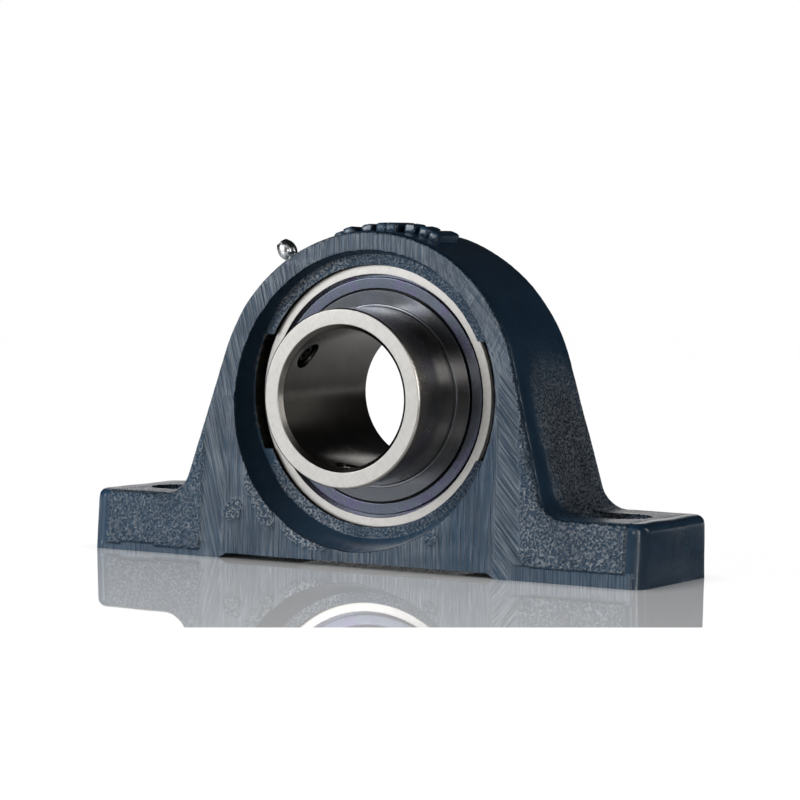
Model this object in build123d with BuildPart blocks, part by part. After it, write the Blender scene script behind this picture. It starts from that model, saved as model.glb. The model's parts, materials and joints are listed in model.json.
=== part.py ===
from build123d import *
import math
import os

# Pillow block bearing, in millimetres. +X runs along the base, Y along the shaft and +Z up.
# The front, where the inner ring carries its set screws, looks towards -Y.
# The origin is on the underside, below the middle of the spherical seat.

# Insert: a wide inner ring for a 40 mm shaft, its radii built up from the shaft outwards
shaft_radius = 20.0
inner_ring_wall = 5.9
race_depth = 1.9
ball_radius = 6.0
outer_ring_wall = 4.0
inner_long_side = 30.2
inner_short_side = 19.0
bore_chamfer = 1.3
ring_chamfer = 0.5

# Ball set
ball_count = 9
first_ball_angle = 90.0
ball_play = 0.02
groove_conformity = 1.035
cage_sheet = 0.8
cage_band = 4.2
cage_play = 0.15
rivet_radius = 0.7
rivet_head_radius = 1.3
rivet_head_height = 0.5

# Seals, from the balls outwards
seal_side_gap = 0.35
seal_seat_depth = 3.2
seal_face_rim = 2.6
seal_sheet = 0.8
seal_wall_gap = 0.85
seal_face_width = 3.4
seal_recess = 1.0
seal_bend = 0.4
seal_press = 0.02
lip_thickness = 1.0
lip_play = 0.06
flinger_sheet = 0.8
flinger_gap = 0.4
flinger_recess = 0.4
flinger_depth = 1.2
flinger_bend = 0.6
flinger_press = 0.01

# Set screws, screwed back so that their cup points clear the shaft
screw_radius = 4.0
screw_play = 0.03
screw_length = 5.3
screw_setback = 8.0
screw_angles = (144.5, 264.5)
screw_proud = 0.2
screw_chamfer = 0.7
socket_width = 4.0
socket_depth = 2.6
cup_radius = 1.9
cup_depth = 0.8

# Housing casting
seat_play = 0.04
seat_overlap = 1.5
seat_land = 3.0
recess_angle = 20.0
seat_floor = 9.2
crown_wall = 10.4
crown_drop = 2.4
flank_angle = 15.8
flank_fillet = 9.0
base_front = 22.5
base_back = 23.5
front_draft = 4.2
back_draft = 3.2
foot_height = 18.0
corner_radius = 5.0
edge_radius = 2.5
bolt_spacing = 145.0
bolt_slot_width = 17.0
bolt_slot_length = 22.0
foot_overhang = 19.5
loading_slot_height = 34.0
loading_slot_play = 0.6
relief_height = 1.5
relief_half_length = 45.0
relief_ramp = 2.5

# Cored pockets in the underside
pocket_length = 13.0
pocket_width = 17.0
pocket_centre = 33.5
pocket_top = 12.0
pocket_draft = 6.0
pocket_fillet = 2.0

# Grease nipple and the way of the grease
nipple_angle = 132.0
nipple_thread_radius = 3.0
nipple_thread_play = 0.02
nipple_thread_length = 5.5
nipple_spot_radius = 5.0
nipple_spot_depth = 0.6
nipple_hex_width = 7.0
nipple_hex_height = 3.0
nipple_stem_height = 2.3
nipple_shoulder_radius = 2.9
nipple_neck_radius = 2.2
nipple_head_radius = 3.0
nipple_head_height = 5.6
nipple_tip_radius = 1.7
nipple_passage_radius = 1.35
nipple_inlet_radius = 0.9
nipple_inlet_length = 7.0
nipple_mouth_radius = 0.8
nipple_mouth_depth = 1.6
check_ball_radius = 1.15
check_ball_play = 0.05
spring_wire_radius = 0.15
spring_play = 0.08
spring_turns = 5
grease_drilling_radius = 1.5
grease_groove_width = 4.0
grease_groove_depth = 1.0
ring_groove_width = 3.0
ring_groove_depth = 0.5
ring_drilling_radius = 0.8
ring_drilling_offset = 1.0

# Places that follow from the sizes above
inner_ring_radius = shaft_radius + inner_ring_wall
pitch_radius = inner_ring_radius - race_depth + ball_radius
insert_radius = pitch_radius + ball_radius + outer_ring_wall
ring_half = ball_radius + cage_play + cage_sheet + seal_side_gap + seal_seat_depth
seal_stop = ring_half - seal_seat_depth
seat_half = ring_half + seat_overlap
seat_radius = insert_radius + seat_play
axis_height = insert_radius + seat_floor
crown_radius = insert_radius + crown_wall
base_length = bolt_spacing + 2 * foot_overhang
base_width = base_front + base_back
front_lean = math.tan(math.radians(front_draft))
back_lean = math.tan(math.radians(back_draft))

bearing_centre = (0, 0, axis_height)
bearing_axis = Axis(bearing_centre, (0, 1, 0))
# Section through the shaft line: local x runs along the shaft, local y is the radius
section = Plane(origin=bearing_centre, x_dir=(0, 1, 0), z_dir=(1, 0, 0))
# Front view about the bearing centre: local x is X, local y is Z, extrusion runs to -Y
front_view = Plane(origin=bearing_centre, x_dir=(1, 0, 0), z_dir=(0, -1, 0))
sides = (("front", -1), ("back", 1))

os.makedirs("parts", exist_ok=True)


def side_section(side):
    """The section plane with its local x running outwards from the ball plane, to the front or back."""
    return Plane(origin=bearing_centre, x_dir=(0, side, 0), z_dir=(side, 0, 0))


def side_view(side, distance=0.0):
    """A plane square to the shaft, its normal running outwards to the front or back."""
    return Plane(origin=(0, side * distance, axis_height), x_dir=(1, 0, 0), z_dir=(0, side, 0))


def radial_direction(angle):
    """Unit vector away from the shaft line at an angle counted in the front view from +X."""
    return Vector(math.cos(math.radians(angle)), 0, math.sin(math.radians(angle)))


def radial_plane(angle, radius, along_shaft=0.0):
    """A plane square to the radius at an angle in the front view, its normal pointing outwards."""
    origin = Vector(*bearing_centre) + radial_direction(angle) * radius + Vector(0, along_shaft, 0)
    return Plane(origin=origin, x_dir=(0, 1, 0), z_dir=radial_direction(angle))


def sphere_edge(radius, half_width):
    """Radius at which a sphere about the bearing centre meets a plane beside it."""
    return math.sqrt(radius**2 - half_width**2)


# Housing
flank_slope = math.radians(flank_angle)
crown_centre = axis_height - crown_drop
flank_start = (crown_radius * math.cos(flank_slope), crown_centre + crown_radius * math.sin(flank_slope))
flank_foot = (flank_start[0] + (flank_start[1] - foot_height) * math.tan(flank_slope), foot_height)
base_half = base_length / 2
overall_height = crown_centre + crown_radius
seat_edge = sphere_edge(seat_radius, seat_half)
recess_start = seat_edge + seat_land
recess_depth = base_back - seat_half + 1.0
recess_end = recess_start + recess_depth * math.tan(math.radians(recess_angle))
nipple_slope = math.radians(nipple_angle)
crown_reach = math.sqrt(crown_radius**2 - (crown_drop * math.cos(nipple_slope))**2)
nipple_face = crown_reach - crown_drop * math.sin(nipple_slope) - nipple_spot_depth

with BuildPart() as housing:
    # Horseshoe and feet: one outline seen from the front
    with BuildSketch(Plane.XZ.offset(-base_back)):
        with BuildLine():
            Line((-base_half, 0), (base_half, 0))
            Line((base_half, 0), (base_half, foot_height))
            Line((base_half, foot_height), flank_foot)
            Line(flank_foot, flank_start)
            ThreePointArc(flank_start, (0, overall_height), (-flank_start[0], flank_start[1]))
            Line((-flank_start[0], flank_start[1]), (-flank_foot[0], foot_height))
            Line((-flank_foot[0], foot_height), (-base_half, foot_height))
            Line((-base_half, foot_height), (-base_half, 0))
        make_face()
    extrude(amount=base_width)
    # Front and back faces lean in towards the crown, as the pattern was drawn from the sand
    top_front = base_front - overall_height * front_lean
    top_back = base_back - overall_height * back_lean
    with BuildSketch(Plane.YZ.offset(-base_half)):
        Polygon((-base_front, 0), (base_back, 0), (top_back, overall_height),
                (-top_front, overall_height), align=None)
    extrude(amount=base_length, mode=Mode.INTERSECT)
    # Where the flanks run out on the feet
    flank_roots = housing.edges().filter_by(Axis.Y).filter_by(
        lambda edge: abs(abs(edge.center().X) - flank_foot[0]) < 0.1 and abs(edge.center().Z - foot_height) < 0.1)
    fillet(flank_roots, flank_fillet)
    foot_corners = housing.edges().filter_by(
        lambda edge: abs(abs(edge.center().X) - base_half) < 0.1 and abs(edge.center().Y) > top_front
        and abs(edge.center().Z - foot_height / 2) < 0.1)
    fillet(foot_corners, corner_radius)
    # The rounded cast edge runs once round the crown, down the flanks and round both feet
    outline = housing.edges().filter_by(
        lambda edge: edge.center().Z > foot_height - 0.1 and not edge.is_interior
        and (abs(edge.center().Y) > top_front - 0.1 or abs(edge.center().X) > base_half - 0.1))
    fillet(outline, edge_radius)
    # Spherical seat with a conical recess each side
    with BuildSketch(section):
        with BuildLine():
            ThreePointArc((-seat_half, seat_edge), (0, seat_radius), (seat_half, seat_edge))
            Polyline((seat_half, seat_edge), (seat_half, recess_start), (seat_half + recess_depth, recess_end),
                     (seat_half + recess_depth, 0), (-seat_half - recess_depth, 0),
                     (-seat_half - recess_depth, recess_end), (-seat_half, recess_start), (-seat_half, seat_edge))
        make_face()
    revolve(axis=bearing_axis, mode=Mode.SUBTRACT)
    # Slots that let the insert in edgeways from the front, then it is swung into the seat
    with BuildSketch(front_view):
        Circle(seat_radius + loading_slot_play)
        Rectangle(3 * insert_radius, loading_slot_height, mode=Mode.INTERSECT)
    extrude(amount=seat_half, mode=Mode.SUBTRACT)
    # Groove that carries grease round the seat
    with BuildSketch(section):
        with Locations((0, seat_radius)):
            Rectangle(grease_groove_width, 2 * grease_groove_depth)
    revolve(axis=bearing_axis, mode=Mode.SUBTRACT)
    # Slotted bolt holes
    with BuildSketch(Plane.XY):
        with Locations((-bolt_spacing / 2, 0), (bolt_spacing / 2, 0)):
            SlotOverall(bolt_slot_length, bolt_slot_width)
    extrude(amount=axis_height, mode=Mode.SUBTRACT)
    # Relief between the two machined pads of the underside
    with BuildSketch(Plane.XZ.offset(-base_back)):
        Polygon((-relief_half_length - relief_ramp / 2, 0), (relief_half_length + relief_ramp / 2, 0),
                (relief_half_length - relief_ramp / 2, relief_height),
                (-relief_half_length + relief_ramp / 2, relief_height), align=None)
    extrude(amount=base_width, mode=Mode.SUBTRACT)
    # Cored pockets either side of the seat
    with BuildSketch(Plane.XY):
        with Locations((-pocket_centre, 0), (pocket_centre, 0)):
            RectangleRounded(pocket_length, pocket_width, pocket_fillet)
    extrude(amount=pocket_top, taper=pocket_draft, mode=Mode.SUBTRACT)
    # Spot face, thread and drilling of the grease nipple
    with BuildSketch(radial_plane(nipple_angle, nipple_face)):
        Circle(nipple_spot_radius)
    extrude(amount=crown_wall, mode=Mode.SUBTRACT)
    with BuildSketch(radial_plane(nipple_angle, nipple_face)):
        Circle(nipple_thread_radius + nipple_thread_play)
    extrude(amount=-nipple_thread_length, mode=Mode.SUBTRACT)
    with BuildSketch(radial_plane(nipple_angle, nipple_face)):
        Circle(grease_drilling_radius)
    extrude(amount=-(nipple_face - insert_radius), mode=Mode.SUBTRACT)
housing.part.label = "housing"
export_step(housing.part, "parts/housing.step")

# Outer ring: spherical outside, deep groove inside and a stepped seat for each seal
groove_radius = ball_radius * groove_conformity
outer_race = pitch_radius + ball_radius + ball_play
outer_shoulder = outer_race - race_depth
outer_groove_half = math.sqrt(groove_radius**2 - (groove_radius - race_depth) ** 2)
ring_edge = sphere_edge(insert_radius, ring_half - ring_chamfer)
face_edge = sphere_edge(insert_radius, ring_half) - ring_chamfer
seal_bore = face_edge - seal_face_rim

with BuildPart() as outer_ring:
    with BuildSketch(section):
        with BuildLine():
            ThreePointArc((-ring_half + ring_chamfer, ring_edge), (0, insert_radius),
                          (ring_half - ring_chamfer, ring_edge))
            Polyline((ring_half - ring_chamfer, ring_edge), (ring_half, face_edge), (ring_half, seal_bore),
                     (seal_stop, seal_bore), (seal_stop, outer_shoulder), (outer_groove_half, outer_shoulder))
            ThreePointArc((outer_groove_half, outer_shoulder), (0, outer_race),
                          (-outer_groove_half, outer_shoulder))
            Polyline((-outer_groove_half, outer_shoulder), (-seal_stop, outer_shoulder),
                     (-seal_stop, seal_bore), (-ring_half, seal_bore), (-ring_half, face_edge),
                     (-ring_half + ring_chamfer, ring_edge))
        make_face()
    revolve(axis=bearing_axis)
    with BuildSketch(section):
        with Locations((0, insert_radius)):
            Rectangle(ring_groove_width, 2 * ring_groove_depth)
    revolve(axis=bearing_axis, mode=Mode.SUBTRACT)
    # Two slanting drillings lead from that groove past the race to the balls
    for angle in (nipple_angle, nipple_angle + 180):
        mouth = Vector(*bearing_centre) + radial_direction(angle) * insert_radius
        mouth += Vector(0, ring_drilling_offset, 0)
        inside = Vector(*bearing_centre) + radial_direction(angle) * outer_shoulder
        inside += Vector(0, (outer_groove_half + seal_stop) / 2, 0)
        with BuildSketch(Plane(origin=mouth, z_dir=inside - mouth)):
            Circle(ring_drilling_radius)
        extrude(amount=(inside - mouth).length + race_depth, mode=Mode.SUBTRACT)
outer_ring.part.label = "outer_ring"
export_step(outer_ring.part, "parts/outer_ring.step")

# Inner ring: reaches further out on the front, where the set screws are
inner_race = pitch_radius - ball_radius - ball_play
inner_depth = inner_ring_radius - inner_race
inner_groove_half = math.sqrt(groove_radius**2 - (groove_radius - inner_depth) ** 2)
screw_plane_y = -(inner_long_side - screw_setback)

with BuildPart() as inner_ring:
    with BuildSketch(section):
        with BuildLine():
            Polyline((-inner_groove_half, inner_ring_radius), (-inner_long_side + ring_chamfer, inner_ring_radius),
                     (-inner_long_side, inner_ring_radius - ring_chamfer),
                     (-inner_long_side, shaft_radius + bore_chamfer),
                     (-inner_long_side + bore_chamfer, shaft_radius),
                     (inner_short_side - bore_chamfer, shaft_radius),
                     (inner_short_side, shaft_radius + bore_chamfer),
                     (inner_short_side, inner_ring_radius - ring_chamfer),
                     (inner_short_side - ring_chamfer, inner_ring_radius), (inner_groove_half, inner_ring_radius))
            ThreePointArc((inner_groove_half, inner_ring_radius), (0, inner_race),
                          (-inner_groove_half, inner_ring_radius))
        make_face()
    revolve(axis=bearing_axis)
    for angle in screw_angles:
        with BuildSketch(radial_plane(angle, shaft_radius / 2, screw_plane_y)):
            Circle(screw_radius)
        extrude(amount=shaft_radius, mode=Mode.SUBTRACT)
inner_ring.part.label = "inner_ring"
export_step(inner_ring.part, "parts/inner_ring.step")

# Balls
ball_angles = [first_ball_angle + 360 * index / ball_count for index in range(ball_count)]
ball_centres = [Vector(*bearing_centre) + radial_direction(angle) * pitch_radius for angle in ball_angles]
for number, centre in enumerate(ball_centres, start=1):
    with BuildPart() as ball:
        with Locations(centre):
            Sphere(ball_radius)
    ball.part.label = f"ball_{number}"
    export_step(ball.part, f"parts/ball_{number}.step")

# Ribbon cage: two pressed halves with a pocket round each ball, riveted between the balls
pocket_radius = ball_radius + cage_play
rivet_angles = [angle + 180 / ball_count for angle in ball_angles]
rivet_points = [tuple(radial_direction(angle) * pitch_radius)[::2] for angle in rivet_angles]
for side_name, side in sides:
    with BuildPart() as cage_half:
        with BuildSketch(side_view(side)):
            Circle(pitch_radius + cage_band / 2)
            Circle(pitch_radius - cage_band / 2, mode=Mode.SUBTRACT)
        extrude(amount=cage_sheet)
        with Locations(*ball_centres):
            Sphere(pocket_radius + cage_sheet)
        with BuildSketch(side_view(side)):
            Circle(pitch_radius + cage_band / 2)
            Circle(pitch_radius - cage_band / 2, mode=Mode.SUBTRACT)
        extrude(amount=pocket_radius + cage_sheet, mode=Mode.INTERSECT)
        with Locations(*ball_centres):
            Sphere(pocket_radius, mode=Mode.SUBTRACT)
        with BuildSketch(Plane(origin=bearing_centre, x_dir=(1, 0, 0), z_dir=(0, -1, 0))):
            with Locations(*rivet_points):
                Circle(rivet_radius)
        extrude(amount=2 * cage_sheet, both=True, mode=Mode.SUBTRACT)
    cage_half.part.label = f"cage_{side_name}"
    export_step(cage_half.part, f"parts/cage_{side_name}.step")

with BuildPart() as cage_rivets:
    with BuildSketch(front_view):
        with Locations(*rivet_points):
            Circle(rivet_radius)
    extrude(amount=cage_sheet, both=True)
    for side_name, side in sides:
        with BuildSketch(Plane(origin=(0, side * cage_sheet, axis_height), x_dir=(1, 0, 0), z_dir=(0, -1, 0))):
            with Locations(*rivet_points):
                Circle(rivet_head_radius)
        extrude(amount=-side * rivet_head_height)
cage_rivets.part.label = "cage_rivets"
export_step(cage_rivets.part, "parts/cage_rivets.step")

# Seals: a pressed steel shell in the outer ring, a rubber lip bonded into it and a flinger outside
shell_inner = seal_stop + seal_press
shell_face = ring_half - seal_recess
shell_radius = seal_bore - seal_press
wall_radius = shell_radius - seal_wall_gap
window_radius = wall_radius - seal_face_width
flinger_face = ring_half - flinger_recess
flinger_back = flinger_face - flinger_depth
flinger_radius = window_radius - flinger_gap
hub_radius = inner_ring_radius + flinger_press
lip_radius = inner_ring_radius + lip_play
lip_face = shell_inner + lip_thickness

for side_name, side in sides:
    with BuildPart() as seal_shell:
        with BuildSketch(side_section(side)) as shell_profile:
            Polygon((shell_inner, shell_radius), (shell_inner + seal_sheet, shell_radius),
                    (shell_inner + seal_sheet, wall_radius), (shell_face, wall_radius),
                    (shell_face, window_radius), (shell_face - seal_sheet, window_radius),
                    (shell_face - seal_sheet, wall_radius - seal_sheet), (shell_inner, wall_radius - seal_sheet),
                    align=None)
            fillet(shell_profile.vertices().group_by(Axis.X)[-1], seal_bend)
        revolve(axis=bearing_axis)
    seal_shell.part.label = f"{side_name}_seal_shell"
    export_step(seal_shell.part, f"parts/{side_name}_seal_shell.step")

    with BuildPart() as seal_lip:
        with BuildSketch(side_section(side)):
            Polygon((shell_inner, lip_radius), (shell_inner, wall_radius - seal_sheet),
                    (shell_face - seal_sheet, wall_radius - seal_sheet),
                    (shell_face - seal_sheet, window_radius + seal_sheet),
                    (lip_face, window_radius), (lip_face, lip_radius + lip_thickness),
                    (lip_face + lip_thickness / 4, lip_radius), align=None)
        revolve(axis=bearing_axis)
    seal_lip.part.label = f"{side_name}_seal_lip"
    export_step(seal_lip.part, f"parts/{side_name}_seal_lip.step")

    with BuildPart() as flinger:
        with BuildSketch(side_section(side)) as flinger_profile:
            Polygon((flinger_back, hub_radius), (flinger_face, hub_radius), (flinger_face, flinger_radius),
                    (flinger_back, flinger_radius), (flinger_back, flinger_radius - flinger_sheet),
                    (flinger_face - flinger_sheet, flinger_radius - flinger_sheet),
                    (flinger_face - flinger_sheet, hub_radius + flinger_sheet),
                    (flinger_back, hub_radius + flinger_sheet), align=None)
            fillet(flinger_profile.vertices().group_by(Axis.X)[-1], flinger_bend)
        revolve(axis=bearing_axis)
    flinger.part.label = f"{side_name}_flinger"
    export_step(flinger.part, f"parts/{side_name}_flinger.step")

# Set screws with a hexagon socket and a cup point
screw_top = inner_ring_radius + screw_proud
for number, angle in enumerate(screw_angles, start=1):
    with BuildPart() as set_screw:
        with BuildSketch(radial_plane(angle, screw_top, screw_plane_y)):
            Circle(screw_radius - screw_play)
        extrude(amount=-screw_length)
        screw_axis = Axis(bearing_centre, tuple(radial_direction(angle)))
        chamfer(set_screw.edges().filter_by(GeomType.CIRCLE).sort_by(screw_axis)[0], screw_chamfer)
        with BuildSketch(radial_plane(angle, screw_top, screw_plane_y)):
            RegularPolygon(socket_width / 2, 6, major_radius=False)
        extrude(amount=-socket_depth, mode=Mode.SUBTRACT)
        with BuildSketch(radial_plane(angle, screw_top - screw_length, screw_plane_y)):
            Circle(cup_radius)
        extrude(amount=cup_depth, taper=45, mode=Mode.SUBTRACT)
    set_screw.part.label = f"set_screw_{number}"
    export_step(set_screw.part, f"parts/set_screw_{number}.step")

# Grease nipple: thread, hexagon, neck and ball head round a passage, closed by a sprung check ball
nipple_direction = radial_direction(nipple_angle)
nipple_axis = Axis(bearing_centre, tuple(nipple_direction))
nipple_section = Plane(origin=bearing_centre, x_dir=nipple_direction, z_dir=(0, -1, 0))
nipple_foot = nipple_face - nipple_thread_length
hex_top = nipple_face + nipple_hex_height
head_start = hex_top + nipple_stem_height
nipple_tip = head_start + nipple_head_height
mouth_start = nipple_tip - nipple_mouth_depth
passage_start = nipple_foot + nipple_inlet_length

with BuildPart() as grease_nipple:
    with BuildSketch(nipple_section):
        with BuildLine():
            Polyline((head_start, nipple_neck_radius), (hex_top, nipple_shoulder_radius),
                     (hex_top, nipple_thread_radius), (nipple_foot, nipple_thread_radius), (nipple_foot, 0),
                     (nipple_tip, 0), (nipple_tip, nipple_tip_radius))
            Spline((nipple_tip, nipple_tip_radius), (head_start + nipple_head_height / 2, nipple_head_radius),
                   (head_start, nipple_neck_radius), tangents=((-0.5, 1), (-1, -0.4)))
        make_face()
    revolve(axis=nipple_axis)
    with BuildSketch(radial_plane(nipple_angle, nipple_face)):
        RegularPolygon(nipple_hex_width / 2, 6, major_radius=False)
    extrude(amount=nipple_hex_height)
    with BuildSketch(nipple_section):
        Polygon((nipple_foot, 0), (nipple_foot, nipple_inlet_radius), (passage_start, nipple_inlet_radius),
                (passage_start, nipple_passage_radius), (mouth_start, nipple_passage_radius),
                (nipple_tip, nipple_mouth_radius), (nipple_tip, 0), align=None)
    revolve(axis=nipple_axis, mode=Mode.SUBTRACT)
grease_nipple.part.label = "grease_nipple"
export_step(grease_nipple.part, "parts/grease_nipple.step")

mouth_slope = math.atan((nipple_passage_radius - nipple_mouth_radius) / nipple_mouth_depth)
seated_radius = (check_ball_radius + check_ball_play) / math.cos(mouth_slope)
ball_seat = mouth_start + (nipple_passage_radius - seated_radius) / math.tan(mouth_slope)
with BuildPart() as nipple_ball:
    with Locations(Vector(*bearing_centre) + nipple_direction * ball_seat):
        Sphere(check_ball_radius)
nipple_ball.part.label = "nipple_ball"
export_step(nipple_ball.part, "parts/nipple_ball.step")

coil_radius = nipple_passage_radius - spring_wire_radius - spring_play
coil_start = passage_start + spring_wire_radius
coil_end = ball_seat - check_ball_radius - spring_wire_radius
with BuildPart() as nipple_spring:
    with BuildLine() as coil:
        Helix((coil_end - coil_start) / spring_turns, coil_end - coil_start, coil_radius,
              center=tuple(Vector(*bearing_centre) + nipple_direction * coil_start),
              direction=tuple(nipple_direction))
    with BuildSketch(Plane(origin=coil.line @ 0, z_dir=coil.line % 0)):
        Circle(spring_wire_radius)
    sweep(path=coil.line, is_frenet=True)
nipple_spring.part.label = "nipple_spring"
export_step(nipple_spring.part, "parts/nipple_spring.step")
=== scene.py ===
import json
import math

import bpy
import numpy as np
from mathutils import Matrix, Vector, noise


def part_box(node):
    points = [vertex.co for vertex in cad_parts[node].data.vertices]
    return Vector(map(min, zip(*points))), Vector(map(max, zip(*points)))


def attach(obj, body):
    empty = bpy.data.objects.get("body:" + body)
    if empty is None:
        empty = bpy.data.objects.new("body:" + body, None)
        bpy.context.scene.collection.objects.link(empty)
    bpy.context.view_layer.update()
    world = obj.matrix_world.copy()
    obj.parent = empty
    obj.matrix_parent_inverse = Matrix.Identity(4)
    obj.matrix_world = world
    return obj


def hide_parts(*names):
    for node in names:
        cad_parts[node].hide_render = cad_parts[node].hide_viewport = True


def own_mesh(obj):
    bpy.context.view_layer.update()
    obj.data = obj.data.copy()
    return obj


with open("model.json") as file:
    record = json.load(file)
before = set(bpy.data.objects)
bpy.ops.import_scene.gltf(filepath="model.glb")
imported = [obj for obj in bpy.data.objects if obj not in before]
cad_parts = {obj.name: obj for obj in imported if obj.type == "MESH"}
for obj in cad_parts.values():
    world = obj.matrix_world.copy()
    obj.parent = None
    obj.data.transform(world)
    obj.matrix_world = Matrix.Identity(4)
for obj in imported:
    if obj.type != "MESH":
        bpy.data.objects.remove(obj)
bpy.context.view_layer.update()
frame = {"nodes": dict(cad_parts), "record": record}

bl_info = {
    "name": "Pillow Block Bearing",
    "version": (1, 0, 0),
    "blender": (4, 5, 0),
    "location": "View3D > Sidebar > Bearing",
    "description": "Dresses a cast pillow block and its insert bearing in paint, ground iron and steel",
    "category": "Add Mesh",
}

# Sizes in metres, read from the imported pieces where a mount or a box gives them
MM = 0.001
MOUNTS = {mount["name"]: mount for mount in frame["record"]["mounts"]}
AXIS_HEIGHT = MOUNTS["shaft_bore"]["pos_m"][2]
CENTRE = Vector((0, 0, AXIS_HEIGHT))
SHAFT_LINE = Vector((0, 1, 0))
UP = Vector((0, 0, 1))
BASE_FRONT = -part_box("housing")[0].y
BASE_HALF, BASE_BACK, CROWN_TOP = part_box("housing")[1]
SHAFT_RADIUS = MOUNTS["shaft_bore"]["dims"]["r_mm"] * MM
INNER_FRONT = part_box("inner_ring")[0].y
INNER_RADIUS, INNER_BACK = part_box("inner_ring")[1].xy
INSERT_RADIUS, OUTER_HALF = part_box("outer_ring")[1].xy
SHELL_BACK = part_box("back_seal_shell")[0].y
SHELL_RADIUS, SHELL_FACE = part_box("back_seal_shell")[1].xy
FLINGER_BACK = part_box("back_flinger")[0].y
FLINGER_RADIUS, FLINGER_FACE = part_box("back_flinger")[1].xy

# Sizes of the casting, in metres
FRONT_LEAN = math.tan(math.radians(4.2))
BACK_LEAN = math.tan(math.radians(3.2))
CROWN_RADIUS = 50.4 * MM
SEAT_HALF = 12 * MM
SEAT_ROOM = 0.06 * MM
SKIN_OCTREE_DEPTH = 8
BARS_MIDDLE = 91
BAR_SPACING = 5.4
BAR_WIDTH = 3.8 * MM

# Low spots that the grinding wheel missed: middle x and z, half length, half width in millimetres, turn in degrees
CAST_SPOTS = ((-42, 14, 3.4, 3.0, 20), (-32, 16.5, 8.2, 2.9, -58), (-17, 7.6, 8.2, 2.3, -12), (25, 9.7, 2.6, 1.6, 10))

# The wheel's passes: length and width of a scratch in millimetres, and its lean in degrees
STEEP_PASS = (26, 0.62, -17)
SLANTED_PASS = (22, 0.66, -43)
CROSSING_PASS = (14, 0.62, 28)
VERTICAL_PASS = (18, 0.62, -3)

# Sizes of the insert, in metres
BORE_CHAMFER = 1.3 * MM
RING_CHAMFER = 0.5 * MM
BALL_GROOVE = 6.21 * MM
PITCH_RADIUS = 30 * MM
RACE_DEPTH = 1.9 * MM
BALL_RADIUS = 6.02 * MM
SEAL_STOP = 7.3 * MM
SEAL_RIM = 2.6 * MM
SEAL_SHEET = 0.8 * MM
SHELL_WALL_GAP = 0.85 * MM
SHELL_WIDTH = 3.4 * MM
FLINGER_SHEET = 0.8 * MM
SCREW_ORIGIN = CENTRE + SHAFT_LINE * (-22.2 * MM)
SCREW_ANGLES = (144.5, 264.5)
SCREW_HOLE_RADIUS = 4 * MM
SCREW_RADIUS = 3.97 * MM
SCREW_PITCH = 1 * MM
SCREW_TOP = 26.1 * MM
SCREW_LENGTH = 5.3 * MM
SOCKET_WIDTH = 4 * MM
SOCKET_DEPTH = 2.6 * MM
CUP_RADIUS = 1.9 * MM
CUP_DEPTH = 0.8 * MM

# Sizes of the grease nipple, in metres from the shaft line along its own axis
NIPPLE_ANGLE = 132
NIPPLE_FACE = 47.99 * MM
NIPPLE_HEX_TOP = NIPPLE_FACE + 3 * MM
NIPPLE_HEAD = NIPPLE_HEX_TOP + 2.3 * MM
NIPPLE_TIP = NIPPLE_HEAD + 5.6 * MM
NIPPLE_FOOT = NIPPLE_FACE - 5.5 * MM
NIPPLE_THREAD_RADIUS = 3 * MM
NIPPLE_SHOULDER_RADIUS = 2.9 * MM
NIPPLE_NECK_RADIUS = 2.2 * MM
NIPPLE_HEAD_RADIUS = 2.85 * MM
NIPPLE_TIP_RADIUS = 1.7 * MM
NIPPLE_HEX_WIDTH = 7 * MM
NIPPLE_PASSAGE_RADIUS = 1.35 * MM
NIPPLE_INLET_RADIUS = 0.9 * MM
NIPPLE_INLET_END = NIPPLE_FOOT + 7 * MM
NIPPLE_MOUTH_RADIUS = 0.8 * MM
NIPPLE_MOUTH_DEPTH = 1.6 * MM
NIPPLE_HEAD_SWEEP = 52

# Camera, as the photograph has it
CAMERA_FOCAL_PIXELS = 3179.4
CAMERA_AZIMUTH = 29.9
CAMERA_ELEVATION = 3.076
CAMERA_DISTANCE = 0.93185
CAMERA_TARGET = Vector((0.002136, 0, 0.047748))
CAMERA_ROLL = 1.0
FRAME_PIXELS = 800
SENSOR_WIDTH = 36

# Strength of the studio for soft light, and of the floor where it is seen, is mirrored and only lights
DIFFUSE_FILL = 0.06
FLOOR_GLOW = 0.93
FLOOR_MIRRORED = 0.45
FLOOR_FILL = 0.12

# The floor, in metres: how far its contact shadow reaches, and the line where its polished sheet ends
CONTACT_SHADOW = 10 * MM
FLOOR_WIDTH = 12
SHEET_EDGE = 0.1532
SHEET_EDGE_AZIMUTH = 37.8
SHEET_GLOSS = 1.38
SHEET_GLOSS_LIMIT = 0.92
SHEET_ROUGHNESS = 0.02

# Lamps: azimuth, elevation, distance, width, height, watts, and the rays that miss the lamp
LAMPS = {
    "key_softbox": (-38, 19, 1.15, 0.6, 0.5, 6.8, None),
    "front_fill": (-34, 12, 1.3, 0.8, 0.8, 10.0, "glossy"),
    "side_fill": (114, 12, 0.55, 0.35, 0.35, 0.95, "glossy"),
    "rear_fill": (215, 30, 1.3, 0.8, 0.8, 3.0, "glossy"),
    "corner_strip": (57, 12, 0.9, 0.06, 0.5, 1.1, "diffuse"),
    "flank_strip": (113, 20, 0.6, 0.07, 0.3, 0.4, "diffuse"),
}

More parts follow.
